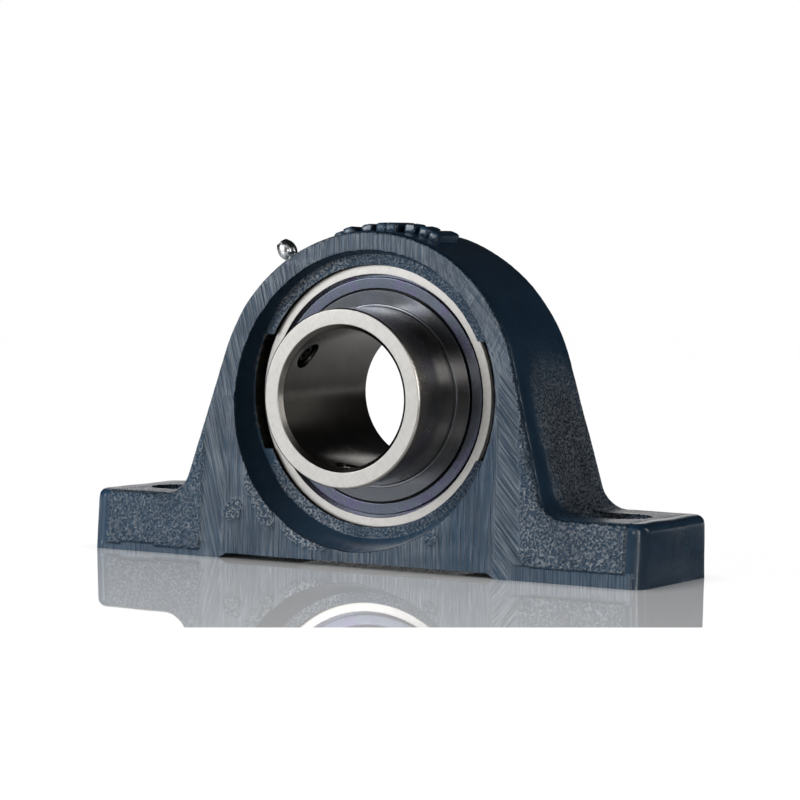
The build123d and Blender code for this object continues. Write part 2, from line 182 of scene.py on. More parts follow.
# Cloths that stand where the photograph's steel and paint mirror darkness: middle, size, turn and tilt
CLOTHS = {
    "cloth_front": ((0.17, -0.68, 0.34), (0.68, 0.64), 14, 90),
    "cloth_right": ((0.62, 0.15, 0.35), (0.9, 0.66), 90, 90),
    "cloth_back_right": ((0.25, 0.62, 0.35), (0.74, 0.66), 0, 90),
    "cloth_back": ((-0.37, 0.62, 0.43), (0.5, 0.5), 0, 90),
    "cloth_left": ((-0.66, 0.12, 0.35), (0.8, 0.66), 90, 90),
    "cloth_above": ((0.1, 0.12, 0.66), (1.2, 1.1), 0, 0),
    "cloth_floor": ((0.547, 0.325, 0.001), (0.5, 0.9), -30, 0),
}

# Cards that shine where the photograph's steel is bright: middle, size, turn, tint and strength
CARDS = {
    "front_card": ((0.27, -0.58, 0.21), (0.15, 0.13), 25, (1, 0.95, 0.88), 7.5),
    "window_card": ((-0.038, 0.062, 0.067), (0.018, 0.024), 0, (1, 0.98, 0.95), 1.4),
    "bore_card": ((0.031, 0.06, 0.065), (0.009, 0.045), 0, (1, 0.97, 0.93), 1.1),
}

# Tints beside those of the properties, from the darker to the lighter where there are two
# Painted highlights on the tips of the cast grain, over the faces and beside the recess
GRAIN_TIP_HIGHLIGHT = (0.20, 0.23, 0.265)
RECESS_TIP_HIGHLIGHT = (0.32, 0.35, 0.38)
DEEP_PAINT_TINT = (0.010, 0.027, 0.052)
BARE_IRON_TINTS = ((0.16, 0.155, 0.15), (0.30, 0.295, 0.285))
# Darker, warmer tints of the turned steel: painted shade, with a warm painted reflection
TURNED_STEEL_SHADE_TINTS = ((0.30, 0.282, 0.258), (0.37, 0.35, 0.322))
SEAL_VIOLET = (0.085, 0.08, 0.134)
FLINGER_VIOLET = (0.105, 0.112, 0.135)
RUBBER_TINTS = ((0.008, 0.008, 0.009), (0.022, 0.022, 0.023))
# Black oxide of the set screws, painted darker still as painted shade in their holes
SCREW_OXIDE_AND_SHADE_TINT = (0.02, 0.019, 0.019)
PLATED_TINT = (0.62, 0.64, 0.65)
BALL_TINT = (0.62, 0.62, 0.63)
CAGE_TINT = (0.36, 0.33, 0.29)
SPRING_TINT = (0.34, 0.33, 0.32)
CLOTH_TINT = (0.03, 0.03, 0.032)

MERGE_DISTANCE = 1e-7
SMOOTH_ANGLE = math.radians(40)
BEVEL_ANGLE = math.radians(30)


class CastingSizes(bpy.types.PropertyGroup):
    cell: bpy.props.FloatProperty(
        name="Skin Cell", description="Size of one face of the cast skin", default=0.72 * MM, unit="LENGTH")
    grain_height: bpy.props.FloatProperty(
        name="Grain Height", description="How far the sand grain stands out", default=0.13 * MM, unit="LENGTH")
    grain_size: bpy.props.FloatProperty(
        name="Grain Size", description="Width of one lump of the sand grain", default=1.6 * MM, unit="LENGTH")
    wave_height: bpy.props.FloatProperty(
        name="Wave Height", description="Unevenness of the pattern and the mould", default=0.3 * MM, unit="LENGTH")
    wave_size: bpy.props.FloatProperty(
        name="Wave Size", description="Width of one unevenness", default=11 * MM, unit="LENGTH")
    bar_count: bpy.props.IntProperty(
        name="Raised Bars", description="Plain cast bars across the crown", default=8, min=0)
    bar_height: bpy.props.FloatProperty(
        name="Bar Height", description="How far the bars stand out of the crown", default=2.5 * MM, unit="LENGTH")


class SteelSizes(bpy.types.PropertyGroup):
    steps: bpy.props.IntProperty(
        name="Steps Round", description="Faces round a turned ring", default=256, min=16)
    edge: bpy.props.FloatProperty(
        name="Edge Rounding", description="Rounding of the ground rings' edges", default=0.12 * MM, unit="LENGTH")


class FinishColours(bpy.types.PropertyGroup):
    paint: bpy.props.FloatVectorProperty(
        name="Paint", description="Dark blue machine paint", subtype="COLOR", default=(0.017, 0.047, 0.086))
    ground: bpy.props.FloatVectorProperty(
        name="Ground Iron", description="Paint over ground iron", subtype="COLOR", default=(0.12, 0.152, 0.188))
    ring: bpy.props.FloatVectorProperty(
        name="Ring Steel", description="Ground bearing steel", subtype="COLOR", default=(0.385, 0.378, 0.365))
    seal: bpy.props.FloatVectorProperty(
        name="Seal Plate", description="Blued seal sheet", subtype="COLOR", default=(0.085, 0.098, 0.124))
    flinger: bpy.props.FloatVectorProperty(
        name="Flinger Plate", description="Plated flinger sheet", subtype="COLOR", default=(0.115, 0.123, 0.134))


class Wire:
    """One output of a material's nodes. Arithmetic on wires adds Math nodes, so shader maths reads plainly."""

    def __init__(self, tree, socket):
        self.tree = tree
        self.socket = socket

    def node(self, kind, settings, inputs, output=0):
        """Add a node: its settings first, then a value or a wire for each of its sockets."""
        made = self.tree.nodes.new(kind)
        for name, value in settings.items():
            setattr(made, name, value)
        for name, value in inputs.items():
            if isinstance(value, Wire):
                self.tree.links.new(value.socket, made.inputs[name])
            else:
                made.inputs[name].default_value = value
        return Wire(self.tree, made.outputs[output])

    def math(self, operation, *values):
        return self.node("ShaderNodeMath", {"operation": operation}, dict(enumerate(values)))

    def __add__(self, other):
        return self.math("ADD", self, other)

    __radd__ = __add__

    def __sub__(self, other):
        return self.math("SUBTRACT", self, other)

    def __rsub__(self, other):
        return self.math("SUBTRACT", other, self)

    def __mul__(self, other):
        return self.math("MULTIPLY", self, other)

    __rmul__ = __mul__

    def unsigned(self):
        return self.math("ABSOLUTE", self)

    def most(self, other):
        return self.math("MAXIMUM", self, other)

    def cover(self):
        """Make this shader the material's surface."""
        self.tree.links.new(self.socket, self.tree.nodes["Material Output"].inputs["Surface"])

    def ramp(self, low, high):
        """0 below low and 1 above high, or the other way round, with a soft step between."""
        return self.node("ShaderNodeMapRange", {"interpolation_type": "SMOOTHSTEP"},
                         {0: self, 1: low, 2: high, 3: 0.0, 4: 1.0})

    def blend(self, first, second):
        """A colour between first and second, with this wire as the share of the second."""
        return self.node("ShaderNodeMix", {"data_type": "RGBA"}, {0: self, 6: colour(first), 7: colour(second)}, 2)

    def part(self, axis):
        return self.node("ShaderNodeSeparateXYZ", {}, {0: self}, axis)

    def grain(self, size, detail=2.0, roughness=0.5):
        """Cloudy noise from 0 to 1, with lumps of the given size in metres."""
        return self.node("ShaderNodeTexNoise", {},
                         {"Vector": self, "Scale": 1 / size, "Detail": detail, "Roughness": roughness})

    def streaks(self, length, width, lean):
        """Noise drawn out into streaks: length and width in millimetres, lean in degrees in the front view."""
        laid = self.node("ShaderNodeMapping", {"vector_type": "TEXTURE"},
                         {"Vector": self, "Rotation": (0, math.radians(lean), 0),
                          "Scale": (width * MM, length * MM, length * MM)})
        return laid.node("ShaderNodeTexNoise", {}, {"Vector": laid, "Scale": 1.0, "Detail": 2.0})

    def around(self):
        """The place turned into distance from the shaft line and distance along it."""
        x, y, z = (self.part(axis) for axis in range(3))
        rise = z - AXIS_HEIGHT
        squares = x * x + rise * rise
        return squares.math("SQRT", squares), y


def colour(value):
    """A colour socket's value: wires pass through, three numbers get their fourth."""
    return value if isinstance(value, Wire) else (*value[:3], 1.0)


class Finish:
    """A new material with its Principled shader, and the place on the piece as a wire."""

    def __init__(self, name, **values):
        self.material = bpy.data.materials.new(name)
        self.material.use_nodes = True
        tree = self.material.node_tree
        self.shader = tree.nodes["Principled BSDF"]
        self.tree = tree
        self.place = Wire(tree, tree.nodes.new("ShaderNodeTexCoord").outputs["Object"])
        for socket, value in values.items():
            self.shader.inputs[socket.replace("_", " ").title()].default_value = value

    def attribute(self, name):
        return self.place.node("ShaderNodeAttribute", {"attribute_name": name}, {}, "Fac")

    def feed(self, socket, wire):
        self.tree.links.new(wire.socket, self.shader.inputs[socket])

    def raise_by(self, height):
        """Bump the surface by a height in metres."""
        self.feed("Normal", height.node("ShaderNodeBump", {}, {"Strength": 1.0, "Distance": 1.0, "Height": height}))


def painted_iron(colours):
    """Dark blue paint over sand-cast iron, thinner and greyer where the wheel has been."""
    finish = Finish("painted_iron", metallic=0.0)
    place = finish.place
    ground, bare, skin = (finish.attribute(name) for name in ("ground", "bare", "skin"))
    x, z = place.part(0), place.part(2)
    # Each pass of the wheel left its own direction
    right_leg = x.ramp(43.5 * MM, 45.5 * MM) * z.ramp(66 * MM, 56 * MM)
    right_rim = x.ramp(20 * MM, 32 * MM) * z.ramp(56 * MM, 66 * MM)
    top = z.ramp(84 * MM, 90 * MM) * (1 - right_rim)
    spandrel = x.unsigned().ramp(46.5 * MM, 44.5 * MM) * z.ramp(46 * MM, 40 * MM)
    low = z.ramp(4.8 * MM, 3.8 * MM) * x.unsigned().ramp(49 * MM, 54 * MM)
    upright = spandrel.most(low).most(top * 0.8)
    side = right_leg.most(right_rim * 0.65)
    scratches = place.streaks(*STEEP_PASS) * (1 - side) + place.streaks(*SLANTED_PASS) * side
    scratches = scratches * (1 - right_rim * 0.35) + place.streaks(*CROSSING_PASS) * right_rim * 0.35
    scratches = scratches * (1 - upright) + place.streaks(*VERTICAL_PASS) * upright
    leather = place.grain(0.8 * MM, 1.5, 0.5)
    grain = place.grain(0.5 * MM, 1.0, 0.5)
    fine_grain = place.grain(0.25 * MM, 2.0, 0.6)
    cloud = place.grain(12 * MM, 3.0, 0.55)
    cast = (1 - ground) * skin * skin
    finish.raise_by(leather * cast * 1.15 * MM + grain * cast * 0.45 * MM
                    + scratches * ground * (1 - low * 0.6) * 1.2 * MM + fine_grain * 0.003 * MM)
    # Worn ridges of the scratches show greyer than the paint lying between them
    worn = scratches.ramp(0.42, 0.58) * ground * (1 - upright * 0.3)
    # The spandrel and the bottom strip keep less of the grey: partly thicker paint there, partly painted shade
    blue = x.ramp(26 * MM, 32 * MM) * x.ramp(46 * MM, 43 * MM) * spandrel
    kept = 1 - blue.most(low) * 0.8
    tint = ((ground * 0.1 + worn * 0.9) * kept).blend(colours.paint, colours.ground)
    # Tips of the cast grain are painted lighter as a painted highlight, most of all on the right foot and to the left
    # of the recess
    right_foot = x.ramp(46 * MM, 54 * MM)
    beside_recess = x.ramp(-8 * MM, -12 * MM) * x.ramp(-50 * MM, -46 * MM)
    tip_highlights = (leather.ramp(0.44, 0.64) * cast * (right_foot * 0.35 + 0.55)).blend(tint, GRAIN_TIP_HIGHLIGHT)
    tip_highlights = (leather.ramp(0.42, 0.62) * cast * beside_recess * 0.6).blend(tip_highlights, RECESS_TIP_HIGHLIGHT)
    paint = (cloud.ramp(0.6, 0.36) * 0.4).blend(tip_highlights, DEEP_PAINT_TINT)
    iron = scratches.ramp(0.3, 0.75).blend(*BARE_IRON_TINTS)
    finish.feed("Base Color", bare.blend(paint, iron))
    finish.feed("Metallic", bare * 0.9)
    finish.feed("Roughness", 0.24 + ground * 0.08 + (cloud - 0.5) * 0.1)
    return finish.material


def ring_steel(colours):
    """Bearing steel: cross-ground end faces, and a finely turned bore and lands painted darker as painted shade."""
    finish = Finish("ring_steel", metallic=1.0)
    radius, y = finish.place.around()
    face = y.unsigned().ramp(10.38 * MM, 10.46 * MM) * radius.ramp(34.5 * MM, 35.2 * MM)
    inner_face = (y.ramp(INNER_FRONT + 0.16 * MM, INNER_FRONT + 0.05 * MM)
                  + y.ramp(INNER_BACK - 0.16 * MM, INNER_BACK - 0.05 * MM))
    ground = face.most(inner_face)
    hatch = (finish.place.streaks(2.4, 0.22, -35) + finish.place.streaks(2.4, 0.22, 40)) * 0.5
    turned_lines = y.node("ShaderNodeTexNoise", {"noise_dimensions": "1D"},
                          {"W": y, "Scale": 1 / (0.12 * MM), "Detail": 3.0})
    cloud = finish.place.grain(6 * MM, 3.0)
    finish.raise_by(hatch * ground * 0.012 * MM + turned_lines * (1 - ground) * 0.0022 * MM)
    bright = hatch.ramp(0.3, 0.7).blend(tuple(c * 0.90 for c in colours.ring),
                                        tuple(min(1, c * 1.08) for c in colours.ring))
    # Turned surfaces get darker, warmer tints than the ground faces: painted shade, with a warm painted reflection
    dark = cloud.ramp(0.3, 0.7).blend(*TURNED_STEEL_SHADE_TINTS)
    # The bore is painted darker still, as painted shade inside it
    dark = (radius.ramp(23 * MM, 22.5 * MM) * 0.70).blend(dark, (0, 0, 0))
    finish.feed("Base Color", ground.blend(dark, bright))
    finish.feed("Roughness", ground * 0.12 + 0.26 + (cloud - 0.5) * 0.08)
    return finish.material


def sheet_steel(name, tint, violet, roughness):
    """Pressed and plated sheet, with faint heat colours and handling marks."""
    finish = Finish(name, metallic=1.0)
    radius = finish.place.around()[0]
    cloud = finish.place.grain(5 * MM, 3.0, 0.6)
    speck = finish.place.grain(0.5 * MM, 2.0, 0.6)
    rings = radius.node("ShaderNodeTexNoise", {"noise_dimensions": "1D"},
                        {"W": radius, "Scale": 1 / (0.25 * MM), "Detail": 2.0})
    base = cloud.ramp(0.42, 0.68).blend(tint, violet)
    finish.feed("Base Color", (speck.ramp(0.55, 0.75) * 0.35).blend(base, tuple(c * 1.6 for c in tint)))
    finish.feed("Roughness", roughness + (cloud - 0.5) * 0.16 + (speck - 0.5) * 0.1)
    finish.raise_by(speck * 0.006 * MM + rings * 0.003 * MM)
    return finish.material


def plain_steel(name, tint, roughness, mark_size=1.2 * MM):
    """Steel or plated steel with soft changes of gloss."""
    finish = Finish(name, metallic=1.0)
    marks = finish.place.grain(mark_size, 3.0, 0.6)
    fine = finish.place.grain(mark_size / 5, 2.0)
    finish.feed("Base Color", marks.ramp(0.35, 0.7).blend(tuple(c * 0.8 for c in tint), tint))
    finish.feed("Roughness", roughness + (marks - 0.5) * 0.18)
    finish.raise_by(marks * 0.012 * MM + fine * 0.004 * MM)
    return finish.material


def seal_rubber():
    """Black nitrile rubber with a dusty bloom."""
    finish = Finish("seal_rubber", metallic=0.0)
    bloom = finish.place.grain(1.4 * MM, 3.0)
    finish.feed("Base Color", bloom.ramp(0.4, 0.75).blend(*RUBBER_TINTS))
    finish.feed("Roughness", 0.6 + (bloom - 0.5) * 0.3)
    finish.raise_by(bloom * 0.02 * MM)
    return finish.material


def select_only(piece):
    bpy.ops.object.select_all(action="DESELECT")
    piece.select_set(True)
    bpy.context.view_layer.objects.active = piece


def apply_modifier(piece, kind, **settings):
    """Give the piece a modifier and apply it at once."""
    select_only(piece)
    modifier = piece.modifiers.new(kind, kind)
    for name, value in settings.items():
        setattr(modifier, name, value)
    bpy.ops.object.modifier_apply(modifier=modifier.name)


def cut_away(piece, cutter, operation="DIFFERENCE"):
    """Cut one closed piece with another, or join the two into one skin, and delete the other."""
    apply_modifier(piece, "BOOLEAN", object=cutter, operation=operation, solver="EXACT")
    bpy.data.objects.remove(cutter)


def ease_edges(piece, width, segments=3):
    """Round the sharp edges, then keep the flats flat under smooth shading."""
    apply_modifier(piece, "BEVEL", width=width, segments=segments, limit_method="ANGLE", angle_limit=BEVEL_ANGLE)
    shade_flats(piece)


def shade(piece):
    select_only(piece)
    bpy.ops.object.shade_smooth_by_angle(angle=SMOOTH_ANGLE)


def shade_flats(piece):
    shade(piece)
    apply_modifier(piece, "WEIGHTED_NORMAL", keep_sharp=True)


def lay_on(piece, material, slot, body, *nodes):
    """Give a finished piece its material and the body it moves with, and hide the nodes it stands for. The slot
    argument is not used.
    """
    piece.data.materials.clear()
    piece.data.materials.append(material)
    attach(piece, body)
    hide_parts(*nodes)


def keep_node(name, material):
    """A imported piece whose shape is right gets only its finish."""
    for slot in frame["nodes"][name].material_slots:
        slot.material = material


def radial(angle):
    """Unit vector away from the shaft line, at an angle in degrees in the front view from +X."""
    return Vector((math.cos(math.radians(angle)), 0, math.sin(math.radians(angle))))


def arc(centre, radius, start, end, steps):
    """Points of an arc in an outline, from one angle in degrees to another."""
    turn = [math.radians(start + (end - start) * step / steps) for step in range(steps + 1)]
    return [(centre[0] + radius * math.cos(t), centre[1] + radius * math.sin(t)) for t in turn]


def closed(outline):
    return outline + outline[:1]


def turned(name, outline, steps, origin=CENTRE, axis=SHAFT_LINE, across=UP):
    """A piece turned on the lathe. The outline's points are distance along the axis and radius."""
    bpy.ops.object.select_all(action="DESELECT")
    bpy.ops.mesh.primitive_plane_add(size=MM)
    piece = bpy.context.object
    piece.name = piece.data.name = name
    places = [origin + axis * along + across * radius for along, radius in outline]
    bpy.ops.object.mode_set(mode="EDIT")
    bpy.ops.mesh.merge(type="CENTER")
    bpy.ops.transform.translate(value=places[0])
    for start, end in zip(places, places[1:]):
        bpy.ops.mesh.extrude_region_move(TRANSFORM_OT_translate={"value": end - start})
    bpy.ops.mesh.select_all(action="SELECT")
    bpy.ops.mesh.remove_doubles(threshold=MERGE_DISTANCE)
    bpy.ops.mesh.spin(steps=steps, angle=math.tau, center=origin, axis=axis)
    bpy.ops.mesh.select_all(action="SELECT")
    bpy.ops.mesh.remove_doubles(threshold=MERGE_DISTANCE)
    bpy.ops.mesh.normals_make_consistent(inside=False)
    bpy.ops.object.mode_set(mode="OBJECT")
    return piece


def hexagon(name, width, start, end, origin, axis, across):
    """A hexagon bar from start to end along an axis, with the given width across its flats."""
    bpy.ops.object.select_all(action="DESELECT")
    middle = (start + end) / 2
    bpy.ops.mesh.primitive_cylinder_add(vertices=6, radius=width / math.sqrt(3), depth=end - start)
    bar = bpy.context.object
    bar.name = bar.data.name = name
    turn = Matrix((across, axis.cross(across), axis)).transposed().to_4x4()
    bar.data.transform(Matrix.Translation(origin + axis * middle) @ turn)
    return bar


def thread(start, end, root, crest, pitch):
    """Outline points of a thread cut as grooves, from the root at start to the root at end."""
    turns = round((end - start) / pitch)
    points = []
    for index in range(turns):
        low = start + (end - start) * index / turns
        step = (end - start) / turns
        points += [(low, root), (low + step * 0.44, crest), (low + step * 0.56, crest)]
    return points + [(end, root)]


def copy_of_node(name, new_name):
    """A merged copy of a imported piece's mesh, ready to be worked on."""
    piece = bpy.data.objects.new(new_name, frame["nodes"][name].data.copy())
    bpy.context.scene.collection.objects.link(piece)
    piece.data.name = new_name
    select_only(piece)
    bpy.ops.object.mode_set(mode="EDIT")
    bpy.ops.mesh.select_all(action="SELECT")
    bpy.ops.mesh.remove_doubles(threshold=1e-6)
    bpy.ops.object.mode_set(mode="OBJECT")
    return piece


def raised_bar(angle, length, width, height):
    """A plain cast bar across the crown, rounded all over and sunk into it by its own height."""
    bpy.ops.object.select_all(action="DESELECT")
    bpy.ops.mesh.primitive_cube_add(size=1)
    bar = bpy.context.object
    bpy.ops.object.mode_set(mode="EDIT")
    bpy.ops.mesh.select_all(action="SELECT")
    bpy.ops.transform.resize(value=(width, length, 3 * height))
    bpy.ops.transform.translate(value=(0, 0, CROWN_TOP - height / 2))
    crown_centre = (0, 0, CROWN_TOP - CROWN_RADIUS)
    bpy.ops.transform.rotate(value=math.radians(angle - 90), orient_axis="Y", center_override=crown_centre)
    bpy.ops.object.mode_set(mode="OBJECT")
    apply_modifier(bar, "BEVEL", width=0.26 * width, segments=3, limit_method="ANGLE", angle_limit=BEVEL_ANGLE)
    return bar


def vertex_values(mesh, name):
    """The mesh's points or normals as rows of x, y and z."""
    values = np.empty(len(mesh.vertices) * 3)
    mesh.vertices.foreach_get(name, values)
    return values.reshape(-1, 3)


def soft_step(values, low, high):
    """0 below low and 1 above high, or the other way round, with a soft step between."""
    share = np.clip((values - low) / (high - low), 0, 1)
    return share * share * (3 - 2 * share)


def lumps(points, size, seed):
    """Cloudy noise from about -1 to 1 at each point."""
    return np.array([noise.noise(Vector(p) / size + Vector((seed, seed, seed))) for p in points])


def keep_values(mesh, name, values):
    """Keep one number per point for the material to read."""
    mesh.attributes.new(name, "FLOAT", "POINT").data.foreach_set("value", values.astype(np.float32))


def skin_share(points, normals):
    """How coarse the sand left the skin, from 0 for smooth to 1 for the front and back faces."""
    x, y, z = points.T
    radius = np.hypot(x, z - AXIS_HEIGHT)
    faces = soft_step(np.abs(normals[:, 1]), 0.3, 0.7)
    # Sides: coarse low down on the middle of the flanks, smooth along their edges and on the crown
    sides = 0.12 + 1.7 * soft_step(np.abs(y - 6 * MM), 21 * MM, 6 * MM) * soft_step(z, 72 * MM, 40 * MM)
    tops = soft_step(normals[:, 2], 0.9, 0.98) * soft_step(z, 22 * MM, 20 * MM)
    ends = soft_step(np.abs(x), BASE_HALF - 5.8 * MM, BASE_HALF - 4.6 * MM)
    cone = soft_step(radius, 47 * MM, 45 * MM) * soft_step(np.abs(y), SEAT_HALF, SEAT_HALF + 0.5 * MM)
    sides = sides * (1 - tops) + 0.55 * tops
    sides = sides * (1 - cone) + 0.1 * cone
    # The land beside the insert is smooth on the left, which the photograph has in shade
    shaded_side = soft_step(radius, 45 * MM, 43 * MM) * soft_step(x, -30 * MM, -37 * MM)
    from_crown = np.hypot(x, z - CROWN_TOP + CROWN_RADIUS) - CROWN_RADIUS
    bars = soft_step(from_crown, 0.1 * MM, 0.6 * MM) * soft_step(z, 80 * MM, 85 * MM)
    return (faces + sides * (1 - faces)) * (1 - shaded_side) * (1 - 0.88 * ends) * (1 - 0.8 * bars)


def wheel_depth(points, front):
    """How deep the grinding wheel went in from the cast face, negative where it never touched."""
    x, z = points[:, 0], points[:, 2]
    if not front:
        x = -x
    wander = lumps(points * np.array((1, 0, 1)), 9 * MM, 3.1)
    patch = lumps(points * np.array((1, 0, 1)), 6.5 * MM, 7.7)
    radius = np.hypot(x, z - AXIS_HEIGHT)
    edge = wander * 0.6 * MM
    # Upright bands down both legs, run out on the feet
    left_band = soft_step(x, -54.5 * MM, -52 * MM) * soft_step(x, -46 * MM, -48 * MM)
    right_edge = (51.2 + 0.06 * (49 - z / MM).clip(0, 49)) * MM
    right_band = soft_step(x + edge, 44 * MM, 45 * MM) * soft_step(x + edge, right_edge + 0.4 * MM, right_edge)
    spandrel = soft_step(np.abs(x), 48.5 * MM, 46.5 * MM) * soft_step(z, 52 * MM, 46 * MM)
    # Cast skin that the wheel left in low spots along the left of the recess
    left_over = np.zeros(len(points))
    for across, up, half_width, half_height, turn in CAST_SPOTS:
        c, s = math.cos(math.radians(turn)), math.sin(math.radians(turn))
        along, off = (x - across * MM) * c + (z - up * MM) * s, (z - up * MM) * c - (x - across * MM) * s
        reach = np.hypot(along / (half_width * MM), off / (half_height * MM)) + patch * 0.35 + wander * 0.25
        left_over = np.maximum(left_over, soft_step(reach, 1.15, 0.9))
    strip_height = np.where(x < 0, 2.4, 4.3) * MM
    strip = soft_step(z + wander * 1.1 * MM, strip_height + 0.5 * MM, strip_height - 0.3 * MM)
    rim = soft_step(z, 44 * MM, 50 * MM) * soft_step(x, 53.5 * MM, 51.5 * MM)
    depth = np.full(len(points), -1.0)
    for reached in (rim * 1.6, left_band * 1.5, right_band * 1.5,
                    spandrel * (1.42 + patch * 0.25 - left_over * 1.2), strip * 1.45):
        depth = np.maximum(depth, reached - 1)
    return depth * MM


class BEARING_OT_housing(bpy.types.Operator):
    """Cast skin, raised bars and ground faces of the housing"""
    bl_idname = "bearing.housing"
    bl_label = "Housing Casting"

    def execute(self, context):
        sizes = context.scene.casting_sizes
        casting = copy_of_node("housing", "housing_casting")
        for index in range(sizes.bar_count):
            angle = BARS_MIDDLE + BAR_SPACING * (index - (sizes.bar_count - 1) / 2)
            # Lengths differ along the row, as lettering would
            length = (9 + 3.5 * math.cos(index * 2.1)) * MM
            cut_away(casting, raised_bar(angle, length, BAR_WIDTH, sizes.bar_height), "UNION")
        scale = 2 * BASE_HALF / (sizes.cell * 2**SKIN_OCTREE_DEPTH)
        apply_modifier(casting, "REMESH", mode="SHARP", octree_depth=SKIN_OCTREE_DEPTH, scale=min(scale, 0.99),
                       sharpness=1.0, use_remove_disconnected=False)
        self.roughen(casting, sizes)
        self.grind(casting)
        shade(casting)
        lay_on(casting, painted_iron(context.scene.finish_colours), "painted_iron", "housing", "housing")
        return {"FINISHED"}

    def roughen(self, casting, sizes):
        """Push the cast skin in and out, but not the machined seat and underside."""
        points = vertex_values(casting.data, "co")
        normals = vertex_values(casting.data, "normal")
        radius = np.hypot(points[:, 0], points[:, 2] - AXIS_HEIGHT)
        seat = soft_step(radius, 41.3 * MM, 40.8 * MM) * soft_step(np.abs(points[:, 1]), SEAT_HALF, 11.5 * MM)
        skin = skin_share(points, normals)
        machined = np.maximum(seat, soft_step(points[:, 2], 0.9 * MM, 0.2 * MM))
        grain = lumps(points, sizes.grain_size, 1.3) + 0.5 * lumps(points, sizes.grain_size / 2.2, 5.9)
        waves = lumps(points, sizes.wave_size, 9.2)
        lift = grain * skin * sizes.grain_height * 0.5 + waves * sizes.wave_height * 0.5
        points += normals * (lift * (1 - machined))[:, None]
        points[:, 2] = np.maximum(points[:, 2], 0)
        # Room for the insert to tilt in its seat
        room = INSERT_RADIUS + SEAT_ROOM
        arms = points - np.array(CENTRE)
        reach = np.linalg.norm(arms, axis=1)
        tight = reach < room
        points[tight] = np.array(CENTRE) + arms[tight] * (room / reach[tight])[:, None]
        casting.data.vertices.foreach_set("co", points.ravel())
        underside = soft_step(points[:, 2], 0.3 * MM, 0.1 * MM) * soft_step(normals[:, 2], -0.8, -0.95)
        keep_values(casting.data, "bare", np.maximum(seat, underside))
        keep_values(casting.data, "skin", skin)

    def grind(self, casting):
        """Flatten what the wheel reached on the front and back faces, and mark it as ground."""
        points = vertex_values(casting.data, "co")
        ground = np.zeros(len(points))
        for front in (True, False):
            side = -1 if front else 1
            foot, lean = (BASE_FRONT, FRONT_LEAN) if front else (BASE_BACK, BACK_LEAN)
            reach = foot - points[:, 2] * lean - wheel_depth(points, front)
            standing = side * points[:, 1] - reach
            cut = standing > 0
            points[cut, 1] = side * reach[cut]
            ground = np.maximum(ground, soft_step(standing, -0.02 * MM, 0.06 * MM))
        casting.data.vertices.foreach_set("co", points.ravel())
        keep_values(casting.data, "ground", ground)


class BEARING_OT_rings(bpy.types.Operator):
    """Outer ring with its spherical outside and inner ring with its two threaded holes"""
    bl_idname = "bearing.rings"
    bl_label = "Insert Rings"

    def execute(self, context):
        sizes = context.scene.steel_sizes
        steel = ring_steel(context.scene.finish_colours)
        lay_on(self.outer_ring(sizes), steel, "ring_steel", "outer_ring", "outer_ring")
        lay_on(self.inner_ring(sizes), steel, "ring_steel", "inner_ring", "inner_ring")
        return {"FINISHED"}

    def outer_ring(self, sizes):
        edge = math.degrees(math.asin((OUTER_HALF - RING_CHAMFER) / INSERT_RADIUS))
        face_edge = math.sqrt(INSERT_RADIUS**2 - OUTER_HALF**2) - RING_CHAMFER
        seal_bore = face_edge - SEAL_RIM
        shoulder = PITCH_RADIUS + BALL_RADIUS - RACE_DEPTH
        groove_centre = PITCH_RADIUS + BALL_RADIUS - BALL_GROOVE
        groove_edge = math.degrees(math.asin((shoulder - groove_centre) / BALL_GROOVE))
        outline = arc((0, 0), INSERT_RADIUS, 90 + edge, 90 - edge, 24)
        outline += [(OUTER_HALF, face_edge), (OUTER_HALF, seal_bore), (SEAL_STOP, seal_bore), (SEAL_STOP, shoulder)]
        outline += arc((0, groove_centre), BALL_GROOVE, groove_edge, 180 - groove_edge, 12)
        outline += [(-SEAL_STOP, shoulder), (-SEAL_STOP, seal_bore), (-OUTER_HALF, seal_bore),
                    (-OUTER_HALF, face_edge)]
        ring = turned("outer_ring_ground", closed(outline), sizes.steps)
        ease_edges(ring, sizes.edge)
        return ring

    def inner_ring(self, sizes):
        race = PITCH_RADIUS - BALL_RADIUS
        groove_centre = race + BALL_GROOVE
        groove_edge = math.degrees(math.acos((groove_centre - INNER_RADIUS) / BALL_GROOVE))
        outline = [(INNER_FRONT + RING_CHAMFER, INNER_RADIUS), (INNER_FRONT, INNER_RADIUS - RING_CHAMFER),
                   (INNER_FRONT, SHAFT_RADIUS + BORE_CHAMFER), (INNER_FRONT + BORE_CHAMFER, SHAFT_RADIUS),
                   (INNER_BACK - BORE_CHAMFER, SHAFT_RADIUS), (INNER_BACK, SHAFT_RADIUS + BORE_CHAMFER),
                   (INNER_BACK, INNER_RADIUS - RING_CHAMFER), (INNER_BACK - RING_CHAMFER, INNER_RADIUS)]
        outline += arc((0, groove_centre), BALL_GROOVE, groove_edge - 90, -groove_edge - 90, 12)
        ring = turned("inner_ring_ground", closed(outline), sizes.steps)
        ease_edges(ring, sizes.edge)
        for angle in SCREW_ANGLES:
            cut_away(ring, self.thread_cutter(angle))
        shade_flats(ring)
        return ring

    def thread_cutter(self, angle):
        """The hole's thread as a solid: grooves cut outwards from the hole, and a countersunk mouth."""
        start, end = SHAFT_RADIUS - 2 * MM, INNER_RADIUS + MM
        grooves = thread(start, end - 1.4 * MM, SCREW_HOLE_RADIUS, SCREW_HOLE_RADIUS + 0.35 * MM, SCREW_PITCH)
        mouth = [(INNER_RADIUS - 0.35 * MM, SCREW_HOLE_RADIUS), (end, SCREW_HOLE_RADIUS + 1.35 * MM), (end, 0)]
        return turned("thread_cutter", [(start, 0)] + grooves + mouth, 48, SCREW_ORIGIN, radial(angle), SHAFT_LINE)


